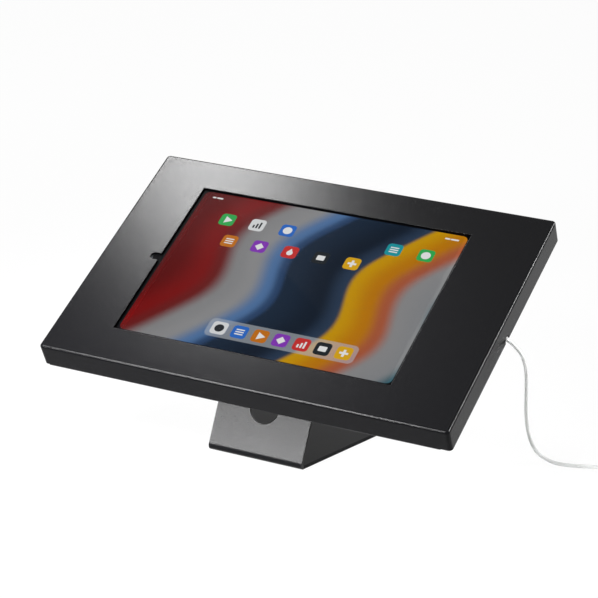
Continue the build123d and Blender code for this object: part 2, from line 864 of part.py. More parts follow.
def usb_pieces(place, heading):
    """Body and shell of the far plug, which lies flat on the table."""
    frame = Plane(origin=place, x_dir=heading, z_dir=(0, 0, 1)).location
    relief = Pos(usb_relief_length / 2, 0, 0) * (
        Rot(0, 90, 0) * Cone(cord_diameter / 2 + loose_gap, usb_relief_diameter / 2, usb_relief_length)
    )
    body = extrude(
        Plane.YZ * RectangleRounded(usb_body_width, usb_body_height, usb_corner_share * usb_body_height),
        amount=usb_body_length,
    )
    body = frame * (relief + Pos(usb_relief_length, 0, 0) * body)
    outer = Rectangle(usb_shell_width, usb_shell_height)
    inner = Rectangle(usb_shell_width - 2 * usb_shell_wall, usb_shell_height - 2 * usb_shell_wall)
    tube = extrude(Plane.YZ * (outer - inner), amount=usb_shell_length)
    tongue_y = usb_shell_width - 2 * usb_shell_wall
    tongue = Pos(0, 0, usb_shell_height / 2 - usb_shell_wall - usb_tongue / 2) * extrude(
        Plane.YZ * Rectangle(tongue_y, usb_tongue), amount=usb_shell_length - usb_tongue
    )
    shell = frame * (Pos(usb_relief_length + usb_body_length, 0, 0) * (tube + tongue))
    return body, shell


def main():
    """Build every node and write it."""
    save(stand_bracket(), "stand_bracket")
    save(Compound(stand_feet()), "stand_feet")
    save(in_case(Compound(bracket_screws())), "bracket_screws")
    save(in_case(Compound(bracket_washers())), "bracket_washers")
    save(in_case(Compound(clinch_nuts())), "clinch_nuts")
    save(in_case(rear_tray()), "rear_tray")
    save(in_case(front_cover()), "front_cover")
    save(in_case(cover_strike()), "cover_strike")
    save(in_case(window_gasket()), "window_gasket")
    for name, sx, sy in holder_centres():
        save(in_case(holder_with_bores(sx, sy)), f"corner_holder_{name}")
    save(in_case(Compound(holder_screws())), "holder_screws")
    save(in_case(Compound(back_pads())), "back_pads")
    save(in_case(lock_body()), "lock_body")
    save(in_case(lock_nut()), "lock_nut")
    save(in_case(lock_plug()), "lock_plug")
    save(in_case(lock_cam()), "lock_cam")
    save(in_case(cam_screw()), "cam_screw")
    save(in_case(lock_key()), "lock_key")
    save(in_case(tablet_body()), "tablet_body")
    save(in_case(tablet_glass()), "tablet_glass")
    save(in_case(tablet_display()), "tablet_display")
    save(in_case(tablet_camera()), "tablet_camera")
    save(in_case(at_tablet(power_button())), "power_button")
    save(in_case(at_tablet(volume_button(0))), "volume_up_button")
    save(in_case(at_tablet(volume_button(1))), "volume_down_button")
    save(in_case(charge_plug_shell()), "charge_plug_shell")
    save(in_case(charge_plug_body()), "charge_plug_body")
    route, radii = smooth_route(cord_points())
    save(round_tube(route, cord_diameter), "charging_cable")
    print("cord radii", [round(radius, 1) for radius in radii], "length", round(route.length, 1))
    path, coil_end, heading = coil_path()
    save(round_tube(path, cord_diameter), "cable_coil")
    print("coil length", round(path.length, 1), "least gap", round(least_coil_gap(path), 2))
    save(cable_tie(), "cable_tie")
    tail, tail_radii = smooth_route(tail_points(coil_end, heading))
    save(round_tube(tail, cord_diameter), "cable_tail")
    print("tail radii", [round(radius, 1) for radius in tail_radii], "length", round(tail.length, 1))
    usb_body, usb_shell = usb_pieces(tail @ 1, tail % 1)
    save(usb_body, "usb_plug_body")
    save(usb_shell, "usb_plug_shell")


main()
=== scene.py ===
"""Looks of the tablet kiosk stand: powder-coated sheet steel, a lit tablet and its white cable."""

from math import cos, pi, radians, sin

import bmesh
import bpy
from mathutils import Matrix, Vector


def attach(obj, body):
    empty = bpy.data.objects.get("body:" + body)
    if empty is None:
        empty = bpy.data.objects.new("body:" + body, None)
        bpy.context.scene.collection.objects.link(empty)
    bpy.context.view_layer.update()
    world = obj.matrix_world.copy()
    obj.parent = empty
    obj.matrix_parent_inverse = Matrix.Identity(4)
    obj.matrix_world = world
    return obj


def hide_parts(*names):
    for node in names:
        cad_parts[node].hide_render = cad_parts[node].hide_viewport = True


bl_info = {
    "name": "Tablet Kiosk Stand",
    "version": (1, 0, 0),
    "blender": (4, 5, 0),
    "location": "View3D > Sidebar > Kiosk",
    "description": "Finishes a tablet kiosk stand: powder-coated steel, lit tablet, lock and cable",
    "category": "Object",
}

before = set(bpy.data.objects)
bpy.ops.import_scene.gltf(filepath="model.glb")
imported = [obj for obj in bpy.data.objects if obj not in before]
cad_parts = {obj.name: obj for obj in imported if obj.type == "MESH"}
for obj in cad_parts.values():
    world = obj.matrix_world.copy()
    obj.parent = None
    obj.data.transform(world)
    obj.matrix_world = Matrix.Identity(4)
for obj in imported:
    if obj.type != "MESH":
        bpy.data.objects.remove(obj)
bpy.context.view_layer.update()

# Places and sizes repeated from the part, in metres and degrees
CASE_TILT = 23.0
FACE_CENTRE = (0.0, -0.00408, 0.1191)
TABLET_SHIFT = (-0.0043, 0.002)
GLASS_HALF = (0.1225, 0.0879)
GLASS_CORNER = 0.0117
DISPLAY_HALF = (0.11355, 0.0789)
DISPLAY_CORNER = 0.0045
PICTURE_DEPTH = 0.00247

# The cord: where it leaves the plug, its corner points beside the case, its coil and its short end
CORD_DIAMETER = 0.0028
PLUG_END_X = 0.1382
PLUG_LEAD_OUT = 0.011
PLUG_DEPTH = 0.00475
CASE_HALF_WIDTH = 0.169
SLOT_Y = 0.00277
CORD_ROUTE = (
    (-0.0105, -0.0025, 0.1091),
    (0.0076, 0.0020, 0.0972),
    (0.0146, 0.0039, 0.0826),
    (0.0149, 0.0049, 0.0590),
    (0.0148, 0.0070, 0.0330),
    (0.0196, 0.0110, 0.0118),
    (0.0305, 0.0154, 0.0015),
    (0.0460, 0.0156, 0.0015),
)
COIL_CENTRE = (0.103, 0.007)
COIL_MEAN_RADIUS = 0.016
COIL_PITCH = 0.0039
COIL_RISE = 0.0035
COIL_LOW = 0.0021
COIL_HEADING = 13.0
COIL_RUN_IN = 0.033
TAIL_OUT = 0.026
TAIL_SIDE = 0.022
TAIL_END = 0.011
USB_REST = 0.0037

# Half turns of the coil's lower layer and of the whole coil, and points on each
COIL_LAYER_HALVES = 6
COIL_HALVES = 12
POINTS_PER_HALF = 6

# The photograph's camera, from the part's face, and its angles in degrees
CAMERA_FROM_FACE = (0.7057, -1.4248, 0.6781)
CAMERA_AZIMUTH = 26.30
CAMERA_ELEVATION = 23.50
CAMERA_ROLL = -0.15
CAMERA_LENS = 136.8

# What the lamps aim at: the bend along the case's front left of its middle, the left side of the
# bracket's leaf, and the bend along the case's right
FRONT_BEND = (-0.05, -0.107, 0.075)
LEAF_SIDE = (-0.08, -0.06, 0.03)
RIGHT_BEND = (0.169, -0.004, 0.119)

# Name, place, aim, size and beam angle in degrees of each lamp, whose power is the setting of
# that name. The narrow beams are soft boxes with a grid: they draw the bright lines on the bends
# and spare the white cable.
LAMPS = (
    ("key_lamp", (-0.71, 0.53, 1.24), FACE_CENTRE, (0.22, 0.18), 180),
    ("strip_lamp", (-0.25, -0.40, 0.54), FRONT_BEND, (0.5, 0.12), 50),
    ("front_lamp", (-0.49, -1.09, 0.52), LEAF_SIDE, (0.4, 0.16), 30),
    ("rim_lamp", (0.76, 0.37, 0.62), RIGHT_BEND, (0.5, 0.12), 30),
)
FLOOR_HALF = 3.0
FLOOR_SHADOW_SHARE = 0.05
TABLE_COLOUR = "#f4f4f4"

# Where a noise has most of its values, which stand for the low and high spots of a grain
GRAIN_SPOTS = (0.3, 0.7)
GRAIN_DETAIL = 2.0

# Colour, grain in millimetres, colour contrast, roughness, relief in millimetres, other sockets
FINISHES = {
    # Powder coat baked on sheet steel: a pebbled film, drawn a little coarse to show, that spreads
    # each lamp into a soft glow and stays deep black elsewhere
    "steel_powder_coated": (
        "#070709", 1.0, 0.08, (0.16, 0.22), 0.075, {"Specular IOR Level": 0.085},
    ),
    # The same powder on the thick bracket bakes slower and comes out duller
    "steel_powder_coated_thick": (
        "#070709", 1.5, 0.06, (0.28, 0.33), 0.05, {"Specular IOR Level": 0.10},
    ),
    # Moulded rubber: dead black with a coarse, dull skin
    "rubber_moulded": ("#111112", 0.8, 0.15, (0.75, 0.90), 0.03, {}),
    # Closed-cell foam: no gloss at all, cells just large enough to see
    "foam_closed_cell": ("#171718", 0.5, 0.20, (0.90, 1.00), 0.05, {}),
    # Black oxide on screw steel: thin dark film, still a little metallic in its shine
    "steel_black_oxide": ("#151518", 0.4, 0.20, (0.32, 0.45), 0.01, {}),
    # Bright zinc plate: cool grey metal with a faint bloom
    "steel_zinc_plated": ("#b4b7b9", 2.4, 0.08, (0.26, 0.36), 0.004, {"Metallic": 1.0}),
    # Moulded nylon: soft black with spark-eroded grain
    "nylon_moulded": ("#161617", 0.5, 0.12, (0.50, 0.60), 0.015, {}),
    # Chromed zinc casting of the lock: bright and nearly smooth
    "zinc_chromed": ("#cfd0d2", 2.0, 0.04, (0.12, 0.20), 0.002, {"Metallic": 1.0}),
    # Nickel-plated key: warmer and duller than chrome from handling
    "brass_nickel_plated": ("#bbb7ad", 1.6, 0.06, (0.22, 0.32), 0.004, {"Metallic": 1.0}),
    # Blasted and anodised aluminium: even grey with a fine sparkle; its grit is drawn coarser than
    # it is, so that it shows
    "aluminium_anodised": ("#9a9da2", 0.3, 0.03, (0.30, 0.38), 0.004, {"Metallic": 1.0}),
    # Moulded polycarbonate of the plugs: clean white, softly glossy
    "polycarbonate_moulded": ("#d8d9d8", 1.0, 0.02, (0.30, 0.40), 0.003, {}),
    # Woven nylon strap: matt black with loops that catch a little light
    "nylon_woven": ("#171718", 0.5, 0.30, (0.85, 1.00), 0.12, {}),
    # Polished lens glass: near black with a violet cast
    "glass_lens": (
        "#0b0a14", 1.0, 0.05, (0.05, 0.09), 0.0, {"Coat Weight": 1.0, "Coat Roughness": 0.03},
    ),
    # Ink printed behind the glass: flat black with no shine of its own, as the glass lies on it
    "ink_printed": ("#070708", 2.0, 0.05, (0.5, 0.6), 0.0, {"Specular IOR Level": 0.0}),
    # Extruded soft plastic of the cable: white, satin, with hardly any grain
    "plastic_extruded": ("#d4d5d4", 1.2, 0.02, (0.34, 0.44), 0.004, {}),
}

# The picture on the lit panel: share of the way across and colour, dark red to teal
RIBBONS = (
    (0.00, "#470f11"), (0.10, "#5e0b0c"), (0.20, "#7a0f10"), (0.24, "#6b1c1c"), (0.30, "#858586"),
    (0.36, "#8b8b8c"), (0.42, "#4f719d"), (0.455, "#2c4467"), (0.475, "#1c2a3c"), (0.60, "#16202e"),
    (0.665, "#2a3a50"), (0.685, "#c4920c"), (0.76, "#b8750f"), (0.81, "#a5573a"), (0.86, "#878788"),
    (0.92, "#838486"), (0.97, "#2f5864"), (1.00, "#264d57"),
)
RIBBON_SLANT = (0.82, -0.42)
RIBBON_ALONG = (0.006, 0.030)
RIBBON_WAVES_MM = ((1.0, 15.0), (2.3, 2.5))
RIBBON_REACH_MM = 119.0

# Tiles of the menu: first tile's place and the signs of the row, in metres from the panel's middle
TILE_ROWS = (
    ((-0.082, 0.052), ("play", "bars", "disc")),
    ((-0.070, 0.030), ("rows", "kite", "drop", "card", "plus")),
    ((0.062, 0.052), ("rows", "disc")),
)
BAR_TILES = ("disc", "rows", "play", "kite", "bars", "card", "plus")
BAR_CENTRE = (0.016, -0.059)
TILE_COLOURS = (
    "#2f9e4d", "#c9cbcc", "#2c62b4", "#b3671a", "#7a35a6",
    "#b7302f", "#23272b", "#c8991c", "#1f8a93",
)
PALE_TILE = "#c9cbcc"
PALE_SIGN = "#d5d6d6"
DARK_SIGN = "#2a2d31"
BAR_VEIL = ("#aab0b6", 0.45)

# Short strokes in the panel's upper corners: place across and half length
MARKS = ((-0.104, 0.0016), (-0.099, 0.0028), (0.098, 0.0022), (0.104, 0.0034))
MARKS_UP = 0.0735
MARK_HALF_HEIGHT = 0.0008

# Shares of a tile's width: its rounding, the bar under a row of tiles, and the signs
TILE_CORNER = 0.23
BAR_PITCH = 1.35
BAR_END = 0.1
BAR_HALF_HEIGHT = 0.72
BAR_CORNER = 0.35
DISC_RADIUS = 0.30
KITE_RADIUS = 0.30
PLAY_RADIUS = 0.34
DROP_RADIUS = 0.20
DROP_SINK = 0.06
DROP_HALF_WIDTH = 0.17
DROP_TIP = 0.32
COLUMNS = ((-0.20, 0.13), (0.0, 0.20), (0.20, 0.27))
COLUMN_HALF_WIDTH = 0.06
COLUMN_FOOT = -0.27
PLUS_HALF_LENGTH = 0.28
PLUS_HALF_WIDTH = 0.08
STROKE_CORNER = 0.02
ROW_PLACES = (-0.18, 0.0, 0.18)
ROW_HALF_LENGTH = 0.28
ROW_HALF_WIDTH = 0.045
ROW_CORNER = 0.04
CARD_HALF_WIDTH = 0.26
CARD_HALF_HEIGHT = 0.20
CARD_CORNER = 0.06


def linear(code):
    """A hex colour as the eye names it, as the linear colour that nodes take."""
    channels = [int(code[i:i + 2], 16) / 255 for i in (1, 3, 5)]
    made = [c / 12.92 if c <= 0.04045 else ((c + 0.055) / 1.055) ** 2.4 for c in channels]
    return (*made, 1.0)


def add(tree, kind, inputs=None, **settings):
    """Add a node: inputs maps a socket's name or number to a value or to another node's socket."""
    made = tree.nodes.new(kind)
    for name, value in settings.items():
        setattr(made, name, value)
    for socket, value in (inputs or {}).items():
        if isinstance(value, bpy.types.NodeSocket):
            tree.links.new(value, made.inputs[socket])
        else:
            made.inputs[socket].default_value = value
    return made


def empty_material(name):
    """A material with no nodes yet, and its tree."""
    made = bpy.data.materials.new(name)
    made.use_nodes = True
    made.node_tree.nodes.clear()
    return made, made.node_tree


def position_mm(tree, middle=(0.0, 0.0, 0.0)):
    """Position from a middle point in millimetres, so that pattern scales are real sizes."""
    place = add(tree, "ShaderNodeTexCoord")
    offset = add(
        tree, "ShaderNodeVectorMath", {0: place.outputs["Object"], 1: middle}, operation="SUBTRACT"
    )
    scaled = add(
        tree, "ShaderNodeVectorMath", {0: offset.outputs[0], "Scale": 1000.0}, operation="SCALE"
    )
    return scaled.outputs[0]


def grained(name, colour, grain_mm, contrast, rough, relief_mm, sockets):
    """Solid finish whose colour, roughness and relief follow one grain of a real size."""
    made, tree = empty_material(name)
    noise = add(
        tree, "ShaderNodeTexNoise",
        {"Vector": position_mm(tree), "Scale": 1.0 / grain_mm, "Detail": GRAIN_DETAIL},
    )
    grain = noise.outputs[0]
    tint = add(tree, "ShaderNodeValToRGB", {0: grain})
    for stop, position, share in zip(
        tint.color_ramp.elements, GRAIN_SPOTS, (1.0 - contrast, 1.0 + contrast)
    ):
        stop.position = position
        stop.color = (*[min(channel * share, 1.0) for channel in colour[:3]], 1.0)
    low, high = GRAIN_SPOTS
    dulled = add(
        tree, "ShaderNodeMapRange",
        {"Value": grain, "From Min": low, "From Max": high, "To Min": rough[0], "To Max": rough[1]},
    )
    relief = add(tree, "ShaderNodeBump", {"Height": grain, "Distance": relief_mm / 1000.0})
    shader = add(
        tree, "ShaderNodeBsdfPrincipled",
        {
            "Base Color": tint.outputs[0], "Roughness": dulled.outputs[0],
            "Normal": relief.outputs[0], **sockets,
        },
    )
    add(tree, "ShaderNodeOutputMaterial", {"Surface": shader.outputs[0]})
    return made


def finish(name, colour=None):
    """The finish of that name: made once in its own colour, or anew in a colour that is given."""
    if colour is None and name in bpy.data.materials:
        return bpy.data.materials[name]
    code, *rest = FINISHES[name]
    return grained(name, colour or linear(code), *rest)


def coated_glass():
    """Cover glass with an anti-reflective coat: clear, so the lit panel keeps its blacks."""
    made, tree = empty_material("glass_coated")
    clear = add(tree, "ShaderNodeBsdfTransparent")
    shine = add(tree, "ShaderNodeBsdfGlossy", {"Roughness": 0.25})
    facing = add(tree, "ShaderNodeFresnel", {"IOR": 1.035})
    mixed = add(
        tree, "ShaderNodeMixShader",
        {0: facing.outputs[0], 1: clear.outputs[0], 2: shine.outputs[0]},
    )
    add(tree, "ShaderNodeOutputMaterial", {"Surface": mixed.outputs[0]})
    return made


def case_axes():
    """Directions across, up and out of the case's face."""
    tilt = radians(CASE_TILT)
    rise = Vector((0.0, cos(tilt), sin(tilt)))
    normal = Vector((0.0, -sin(tilt), cos(tilt)))
    return Vector((1.0, 0.0, 0.0)), rise, normal


def tablet_point(across, up, out):
    """Point counted from the tablet's middle in the plane of the case's face."""
    right, rise, normal = case_axes()
    shift_x, shift_y = TABLET_SHIFT
    return Vector(FACE_CENTRE) + right * (shift_x + across) + rise * (shift_y + up) + normal * out


def lit_panel():
    """Lit display: slanting ribbons of dark red, grey, navy, amber and teal, crisp on one side."""
    made, tree = empty_material("panel_lit")
    right, rise, _ = case_axes()
    place = position_mm(tree, tablet_point(0.0, 0.0, 0.0))
    along_axis = right * RIBBON_ALONG[0] + rise * RIBBON_ALONG[1]
    across_axis = right * RIBBON_SLANT[0] + rise * RIBBON_SLANT[1]
    along = add(tree, "ShaderNodeVectorMath", {0: place, 1: along_axis}, operation="DOT_PRODUCT")
    across = add(tree, "ShaderNodeVectorMath", {0: place, 1: across_axis}, operation="DOT_PRODUCT")
    total = across.outputs["Value"]
    for pace, height in RIBBON_WAVES_MM:
        turned = {0: along.outputs["Value"], 1: pace}
        angle = add(tree, "ShaderNodeMath", turned, operation="MULTIPLY")
        wave = add(tree, "ShaderNodeMath", {0: angle.outputs[0]}, operation="SINE")
        raised = {0: wave.outputs[0], 1: height, 2: total}
        total = add(tree, "ShaderNodeMath", raised, operation="MULTIPLY_ADD").outputs[0]
    share = add(
        tree, "ShaderNodeMapRange",
        {"Value": total, "From Min": -RIBBON_REACH_MM, "From Max": RIBBON_REACH_MM},
    )
    tint = add(tree, "ShaderNodeValToRGB", {0: share.outputs[0]})
    tint.color_ramp.interpolation = "EASE"
    stops = tint.color_ramp.elements
    for index, (position, code) in enumerate(RIBBONS):
        stop = stops[index] if index < 2 else stops.new(position)
        stop.position = position
        stop.color = linear(code)
    glow = add(tree, "ShaderNodeEmission", {"Color": tint.outputs[0]})
    add(tree, "ShaderNodeOutputMaterial", {"Surface": glow.outputs[0]})
    return made


def lit_colour(name, code, cover=1.0):
    """One colour of the picture, which lets the panel through where cover is under one."""
    made, tree = empty_material(name)
    glow = add(tree, "ShaderNodeEmission", {"Color": linear(code)})
    clear = add(tree, "ShaderNodeBsdfTransparent")
    mixed = add(tree, "ShaderNodeMixShader", {0: cover, 1: clear.outputs[0], 2: glow.outputs[0]})
    add(tree, "ShaderNodeOutputMaterial", {"Surface": mixed.outputs[0]})
    return made


def background_share(tree):
    """One for camera, glossy and transmission rays, which see the white background itself."""
    path = add(tree, "ShaderNodeLightPath")
    share = path.outputs["Is Camera Ray"]
    for ray in ("Is Glossy Ray", "Is Transmission Ray"):
        wider = add(tree, "ShaderNodeMath", {0: share, 1: path.outputs[ray]}, operation="MAXIMUM")
        share = wider.outputs[0]
    return share


def give(material, *nodes):
    """Give CAD nodes their material."""
    for name in nodes:
        slots = bpy.data.objects[name].data.materials
        slots.clear()
        slots.append(material)


def rounded_outline(half_x, half_y, corner, middle=(0.0, 0.0), steps=6):
    """Points of a rounded rectangle."""
    points = []
    for index, (side_x, side_y) in enumerate(((1, 1), (-1, 1), (-1, -1), (1, -1))):
        for step in range(steps + 1):
            angle = pi / 2 * (index + step / steps)
            points.append((
                middle[0] + side_x * (half_x - corner) + corner * cos(angle),
                middle[1] + side_y * (half_y - corner) + corner * sin(angle),
            ))
    return points


def round_outline(radius, steps=28, middle=(0.0, 0.0)):
    """Points of a circle, or of a regular shape with few steps."""
    angles = [2 * pi * step / steps for step in range(steps)]
    return [
        (middle[0] + radius * cos(angle), middle[1] + radius * sin(angle)) for angle in angles
    ]


def tile_sign(kind, size):
    """Outlines of the plain sign on one tile of the given size."""
    if kind == "disc":
        return [round_outline(size * DISC_RADIUS)]
    if kind == "play":
        return [round_outline(size * PLAY_RADIUS, steps=3)]
    if kind == "kite":
        return [round_outline(size * KITE_RADIUS, steps=4)]
    if kind == "bars":
        wide, corner = size * COLUMN_HALF_WIDTH, size * STROKE_CORNER
        return [
            rounded_outline(wide, size * half, corner, (size * x, size * (half + COLUMN_FOOT)))
            for x, half in COLUMNS
        ]
    if kind == "plus":
        thin, long, corner = size * PLUS_HALF_WIDTH, size * PLUS_HALF_LENGTH, size * STROKE_CORNER
        return [rounded_outline(long, thin, corner), rounded_outline(thin, long, corner)]
    if kind == "drop":
        wide = size * DROP_HALF_WIDTH
        point = [(-wide, 0.0), (wide, 0.0), (0.0, size * DROP_TIP)]
        return [round_outline(size * DROP_RADIUS, middle=(0.0, -size * DROP_SINK)), point]
    if kind == "rows":
        long, thin, corner = size * ROW_HALF_LENGTH, size * ROW_HALF_WIDTH, size * ROW_CORNER
        return [rounded_outline(long, thin, corner, (0.0, size * up)) for up in ROW_PLACES]
    return [
        rounded_outline(size * CARD_HALF_WIDTH, size * CARD_HALF_HEIGHT, size * CARD_CORNER)
    ]


class PicturePainter:
    """Gathers flat shapes that lie just above the lit panel into one piece."""

    def __init__(self, layer_step):
        self.mesh = bmesh.new()
        self.materials = []
        self.layer_step = layer_step

    def corner(self, place, middle, layer):
        """One point of a shape, lifted by its layer."""
        out = layer * self.layer_step - PICTURE_DEPTH
        point = tablet_point(middle[0] + place[0], middle[1] + place[1], out)
        return self.mesh.verts.new(point)

    def close(self, corners, material):
        """One face with its material."""
        if material not in self.materials:
            self.materials.append(material)
        self.mesh.faces.new(corners).material_index = self.materials.index(material)

    def shape(self, middle, outline, material, layer=0):
        """One flat shape about a middle point."""
        self.close([self.corner(place, middle, layer) for place in outline], material)

    def band(self, outer, inner, material):
        """Flat ring between two outlines of as many points."""
        out, into = [
            [self.corner(place, (0.0, 0.0), 0) for place in outline] for outline in (outer, inner)
        ]
        for index in range(len(outer)):
            after = (index + 1) % len(outer)
            self.close([out[index], out[after], into[after], into[index]], material)

    def finish(self, name):
        """Turn the shapes into a piece that rides on the stand."""
        data = bpy.data.meshes.new(name)
        self.mesh.to_mesh(data)
        self.mesh.free()
        for material in self.materials:
            data.materials.append(material)
        made = bpy.data.objects.new(name, data)
        bpy.context.scene.collection.objects.link(made)
        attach(made, "stand")


def coil_points():
    """Points of the coil: turns inward on the table, up a layer, and outward again."""
    inner = COIL_MEAN_RADIUS - COIL_LAYER_HALVES * COIL_PITCH / 4
    points = []
    for index in range(COIL_HALVES * POINTS_PER_HALF + 1):
        halves = index / POINTS_PER_HALF
        # The innermost half turn climbs to the upper layer, and the rest wind in to it or out
        left = abs(halves - COIL_LAYER_HALVES - 0.5) - 0.5
        climbed = min(max(halves - COIL_LAYER_HALVES, 0.0), 1.0)
        # The curve cuts the corners between its points, so they lie a little further out
        radius = (inner + max(left, 0.0) * COIL_PITCH / 2) / cos(pi / 2 / POINTS_PER_HALF)
        angle = radians(90 + COIL_HEADING) - halves * pi
        points.append(Vector((
            CASE_HALF_WIDTH + COIL_CENTRE[0] + radius * cos(angle),
            SLOT_Y + COIL_CENTRE[1] + radius * sin(angle),
            COIL_LOW + COIL_RISE * (3 - 2 * climbed) * climbed * climbed,
        )))
    return points


def cord_points():
    """The whole cord: plug, slot, fall to the table, coil, and the short end to the far plug."""
    plug_x = PLUG_END_X - TABLET_SHIFT[0]
    start = [tablet_point(x, 0.0, -PLUG_DEPTH) for x in (plug_x, plug_x + PLUG_LEAD_OUT)]
    route = [Vector((CASE_HALF_WIDTH + x, SLOT_Y + y, z)) for x, y, z in CORD_ROUTE]
    heading = Vector((cos(radians(COIL_HEADING)), sin(radians(COIL_HEADING)), 0.0))
    side = Vector((heading.y, -heading.x, 0.0))
    coil = coil_points()
    run_in = coil[0] - heading * COIL_RUN_IN
    out = coil[-1] + heading * (TAIL_OUT + CORD_DIAMETER)
    low = out + side * TAIL_SIDE
    low.z = USB_REST
    return [*start, *route, run_in, *coil, out, low, low + side * TAIL_END]


class KioskSettings(bpy.types.PropertyGroup):
    """Colours, screen sizes and lamp strengths that a user may change."""

    coat_colour: bpy.props.FloatVectorProperty(
        name="Coat colour", description="Colour of the powder coat", subtype="COLOR", size=4,
        default=linear(FINISHES["steel_powder_coated"][0]),
    )
    cord_colour: bpy.props.FloatVectorProperty(
        name="Cord colour", description="Colour of the cable's sheath", subtype="COLOR", size=4,
        default=linear(FINISHES["plastic_extruded"][0]),
    )
    tile: bpy.props.FloatProperty(
        name="Tile", description="Width of one tile on the screen", default=0.0128,
        unit="LENGTH",
    )
    tile_pitch: bpy.props.FloatProperty(
        name="Tile pitch", description="Distance between neighbouring tiles", default=0.0265,
        unit="LENGTH",
    )
    layer_step: bpy.props.FloatProperty(
        name="Layer step", description="Height between layers of the picture", default=0.00002,
        unit="LENGTH",
    )
    key_lamp: bpy.props.FloatProperty(
        name="Key lamp", description="Power of the lamp behind the left side", default=9.5,
        unit="POWER",
    )
    strip_lamp: bpy.props.FloatProperty(
        name="Strip lamp", description="Power of the lamp above the front edge", default=1.5,
        unit="POWER",
    )
    front_lamp: bpy.props.FloatProperty(
        name="Front lamp", description="Power of the lamp in front on the left", default=0.95,
        unit="POWER",
    )
    rim_lamp: bpy.props.FloatProperty(
        name="Rim lamp", description="Power of the lamp behind the right side", default=0.7,
        unit="POWER",
    )
    room_light: bpy.props.FloatProperty(
        name="Room light", description="Strength of the even light round the object", default=0.25,
    )


class KIOSK_OT_finish_case(bpy.types.Operator):
    """Give the bracket, tray, cover and their small parts their finishes"""

    bl_idname = "kiosk.finish_case"
    bl_label = "Finish case"

    def execute(self, context):
        colour = tuple(context.scene.kiosk.coat_colour)
        give(finish("steel_powder_coated", colour), "rear_tray", "front_cover", "cover_strike")
        give(finish("steel_powder_coated_thick", colour), "stand_bracket")
        give(finish("rubber_moulded"), "stand_feet", "back_pads")
        give(finish("foam_closed_cell"), "window_gasket")
        give(finish("steel_black_oxide"), "bracket_screws", "holder_screws", "cam_screw")
        give(finish("steel_zinc_plated"), "bracket_washers", "clinch_nuts")
        corners = ("front_left", "front_right", "rear_left", "rear_right")
        give(finish("nylon_moulded"), *[f"corner_holder_{corner}" for corner in corners])
        return {"FINISHED"}


class KIOSK_OT_finish_lock(bpy.types.Operator):
    """Give the lock and its key their plating"""

    bl_idname = "kiosk.finish_lock"
    bl_label = "Finish lock"

    def execute(self, context):
        give(finish("zinc_chromed"), "lock_body", "lock_plug")
        give(finish("steel_zinc_plated"), "lock_nut", "lock_cam")
        give(finish("brass_nickel_plated"), "lock_key")
        return {"FINISHED"}


class KIOSK_OT_finish_tablet(bpy.types.Operator):
    """Give the tablet its shell, glass, lens and lit panel"""

    bl_idname = "kiosk.finish_tablet"
    bl_label = "Finish tablet"

    def execute(self, context):
        buttons = ("power_button", "volume_up_button", "volume_down_button")
        give(finish("aluminium_anodised"), "tablet_body", *buttons)
        give(coated_glass(), "tablet_glass")
        give(lit_panel(), "tablet_display")
        give(finish("glass_lens"), "tablet_camera")
        return {"FINISHED"}


class KIOSK_OT_paint_screen(bpy.types.Operator):
    """Lay the glass's black border and a plain menu of tiles over the lit panel"""

    bl_idname = "kiosk.paint_screen"
    bl_label = "Paint screen"

    def execute(self, context):
        settings = context.scene.kiosk
        self.paint_menu(settings)
        self.paint_border(settings)
        return {"FINISHED"}

    def paint_menu(self, settings):
        """Bar, corner marks and tiles with their signs, in three layers over the panel."""
        tile = settings.tile
        colours = [lit_colour(f"tile_{index}", code) for index, code in enumerate(TILE_COLOURS)]
        pale = lit_colour("sign_pale", PALE_SIGN)
        dark = lit_colour("sign_dark", DARK_SIGN)
        painter = PicturePainter(settings.layer_step)
        pitch = tile * BAR_PITCH
        half_bar = pitch * len(BAR_TILES) / 2
        first = (BAR_CENTRE[0] - half_bar + pitch / 2, BAR_CENTRE[1])
        rows = [(*row, settings.tile_pitch) for row in TILE_ROWS] + [(first, BAR_TILES, pitch)]
        places = []
        for (x, y), kinds, step in rows:
            places += [((x + step * index, y), kind) for index, kind in enumerate(kinds)]
        bar = rounded_outline(half_bar + tile * BAR_END, tile * BAR_HALF_HEIGHT, tile * BAR_CORNER)
        painter.shape(BAR_CENTRE, bar, lit_colour("bar_veil", *BAR_VEIL))
        for across, half_length in MARKS:
            mark = rounded_outline(half_length, MARK_HALF_HEIGHT, MARK_HALF_HEIGHT)
            painter.shape((across, MARKS_UP), mark, pale, 1)
        edge = rounded_outline(tile / 2, tile / 2, tile * TILE_CORNER)
        for index, (middle, kind) in enumerate(places):
            number = index % len(colours)
            painter.shape(middle, edge, colours[number], 1)
            sign = dark if TILE_COLOURS[number] == PALE_TILE else pale
            for outline in tile_sign(kind, tile):
                painter.shape(middle, outline, sign, 2)
        painter.finish("screen_menu")

    def paint_border(self, settings):
        """Black border of the glass, from its rim to the lit panel."""
        painter = PicturePainter(settings.layer_step)
        rim = rounded_outline(*GLASS_HALF, GLASS_CORNER)
        panel = rounded_outline(*DISPLAY_HALF, DISPLAY_CORNER)
        painter.band(rim, panel, finish("ink_printed"))
        painter.finish("glass_border")


